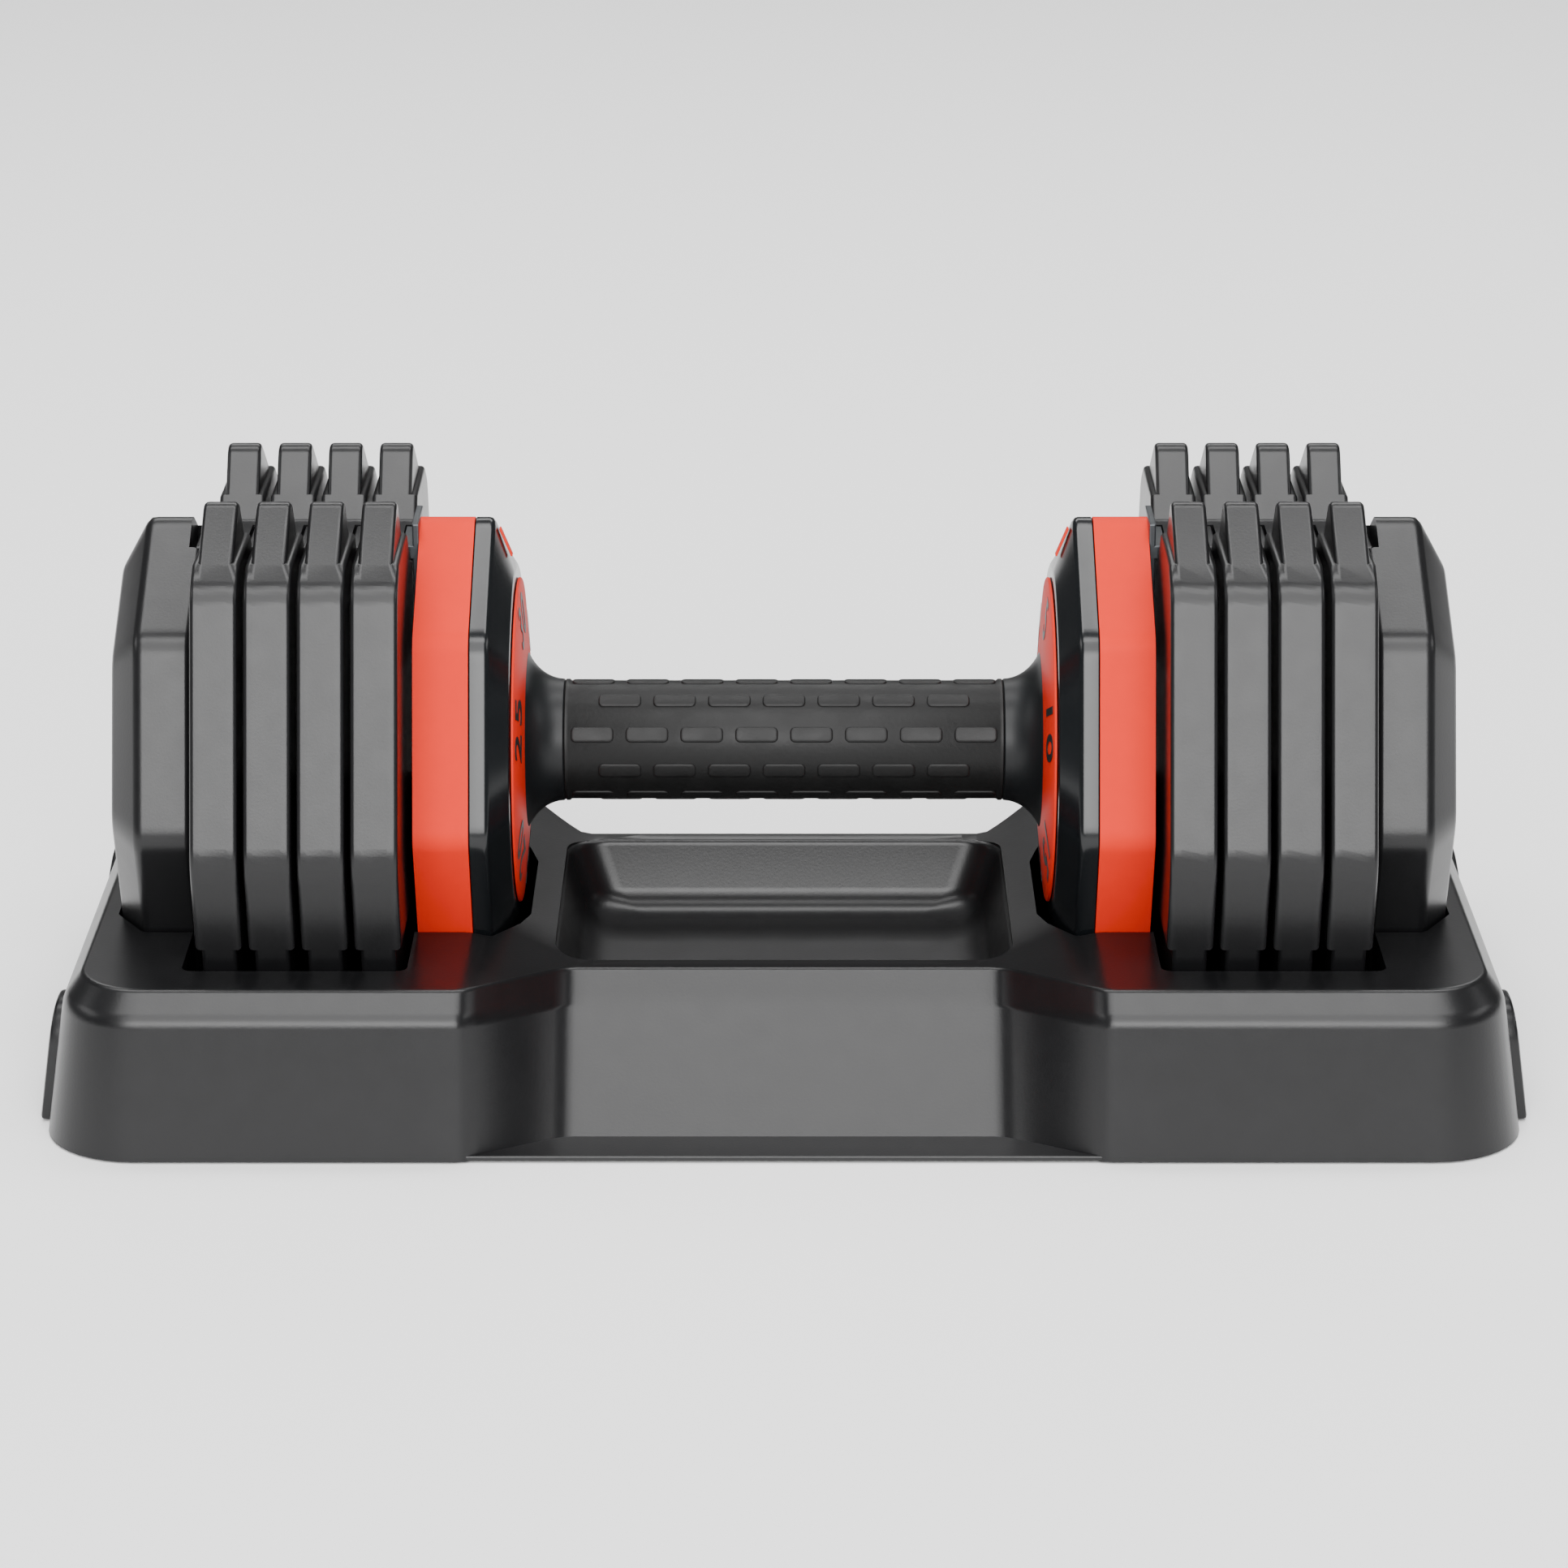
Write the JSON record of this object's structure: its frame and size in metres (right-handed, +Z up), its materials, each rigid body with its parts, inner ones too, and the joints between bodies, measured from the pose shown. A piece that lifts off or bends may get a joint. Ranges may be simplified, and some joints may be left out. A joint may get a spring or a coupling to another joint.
{
  "type": "adjustable dumbbell",
  "caption": "Adjustable dumbbell with a turning handle, dials, stacked eared weight plates and a dog-bone storage tray.",
  "frame": {"origin": "on the floor under the middle of the handle", "axes": "+X along the handle to the right-hand head, +Z up, -Y to the front"},
  "size_m": [0.403, 0.207, 0.1638],
  "materials": {
    "tray_plastic": "satin moulded, fine grain",
    "rubber": "matt",
    "plate_plastic": "satin moulded",
    "core_steel": "as cut",
    "head_plastic": "satin to semi-gloss",
    "orange_plastic": "satin",
    "dial_orange": "satin, printed black numerals",
    "grip_rubber": "matt with raised pads",
    "hook_steel": "grey painted",
    "steel": "turned",
    "bronze": "turned"
  },
  "bodies": {
    "tray": {"tray_shell": "tray_plastic", "rubber_feet": "rubber"},
    "end_plates": {"end_plate_left": "plate_plastic", "end_plate_right": "plate_plastic", "end_core_left": "core_steel", "end_core_right": "core_steel"},
    "plates_4": {"plate_4_left": "plate_plastic", "plate_4_right": "plate_plastic", "steel_core_4_left": "core_steel", "steel_core_4_right": "core_steel"},
    "plates_3": {"plate_3_left": "plate_plastic", "plate_3_right": "plate_plastic", "steel_core_3_left": "core_steel", "steel_core_3_right": "core_steel"},
    "plates_2": {"plate_2_left": "plate_plastic", "plate_2_right": "plate_plastic", "steel_core_2_left": "core_steel", "steel_core_2_right": "core_steel"},
    "plates_1": {"plate_1_left": "plate_plastic", "plate_1_right": "plate_plastic", "steel_core_1_left": "core_steel", "steel_core_1_right": "core_steel"},
    "heads": {"head_cover_left": "head_plastic", "head_cover_right": "head_plastic", "head_band_left": "orange_plastic", "head_band_right": "orange_plastic", "head_weight_left": "core_steel", "head_weight_right": "core_steel", "head_screws_left": "steel", "head_screws_right": "steel", "plate_hook_left": "hook_steel", "plate_hook_right": "hook_steel", "guide_bush_left": "bronze", "guide_bush_right": "bronze", "handle_bush_left": "bronze", "handle_bush_right": "bronze", "lock_springs_left": "steel", "lock_springs_right": "steel"},
    "handle": {"handle_tube": "steel", "grip_sleeve": "grip_rubber", "flare_left": "head_plastic", "flare_right": "head_plastic", "dial_left": "dial_orange", "dial_right": "dial_orange", "cam_sleeve_left": "steel", "cam_sleeve_right": "steel", "lock_wheel_left": "steel", "lock_wheel_right": "steel", "circlip_left": "steel", "circlip_right": "steel"},
    "selector_left": {"selector_shaft_left": "steel", "follower_pin_left": "steel"},
    "lock_left": {"lock_plate_left": "steel"},
    "selector_right": {"selector_shaft_right": "steel", "follower_pin_right": "steel"},
    "lock_right": {"lock_plate_right": "steel"}
  },
  "joints": [
    {"name": "lift_30", "type": "slide", "parent": "tray", "child": "end_plates", "axis": [0, 0, 1], "range_m": [0, 0.12]},
    {"name": "lift_25", "type": "slide", "parent": "end_plates", "child": "plates_4", "axis": [0, 0, 1], "range_m": [0, 0.12]},
    {"name": "lift_20", "type": "slide", "parent": "plates_4", "child": "plates_3", "axis": [0, 0, 1], "range_m": [0, 0.12]},
    {"name": "lift_15", "type": "slide", "parent": "plates_3", "child": "plates_2", "axis": [0, 0, 1], "range_m": [0, 0.12]},
    {"name": "lift_10", "type": "slide", "parent": "plates_2", "child": "plates_1", "axis": [0, 0, 1], "range_m": [0, 0.12]},
    {"name": "lift_05", "type": "slide", "parent": "plates_1", "child": "heads", "axis": [0, 0, 1], "range_m": [0, 0.12]},
    {"name": "handle_spin", "type": "hinge", "parent": "heads", "child": "handle", "pos_m": [0, 0, 0.085], "axis": [1, 0, 0], "range_deg": [0, 300]},
    {"name": "selector_left_slide", "type": "slide", "parent": "heads", "child": "selector_left", "axis": [-1, 0, 0], "range_m": [0, 0.0712]},
    {"name": "selector_right_slide", "type": "slide", "parent": "heads", "child": "selector_right", "axis": [1, 0, 0], "range_m": [0, 0.0712]},
    {"name": "lock_left_drop", "type": "slide", "parent": "heads", "child": "lock_left", "axis": [0, 0, 1], "range_m": [-0.005, 0], "deforming": ["lock_springs_left"]},
    {"name": "lock_right_drop", "type": "slide", "parent": "heads", "child": "lock_right", "axis": [0, 0, 1], "range_m": [-0.005, 0], "deforming": ["lock_springs_right"]}
  ],
  "couplings": [
    {"joint": "selector_left_slide", "follows": "handle_spin", "m_per_rad": 0.013551},
    {"joint": "selector_right_slide", "follows": "handle_spin", "m_per_rad": 0.013551},
    {"joint": "lock_left_drop", "follows": "lift_05", "ratio": -0.041667},
    {"joint": "lock_right_drop", "follows": "lift_05", "ratio": -0.041667}
  ]
}
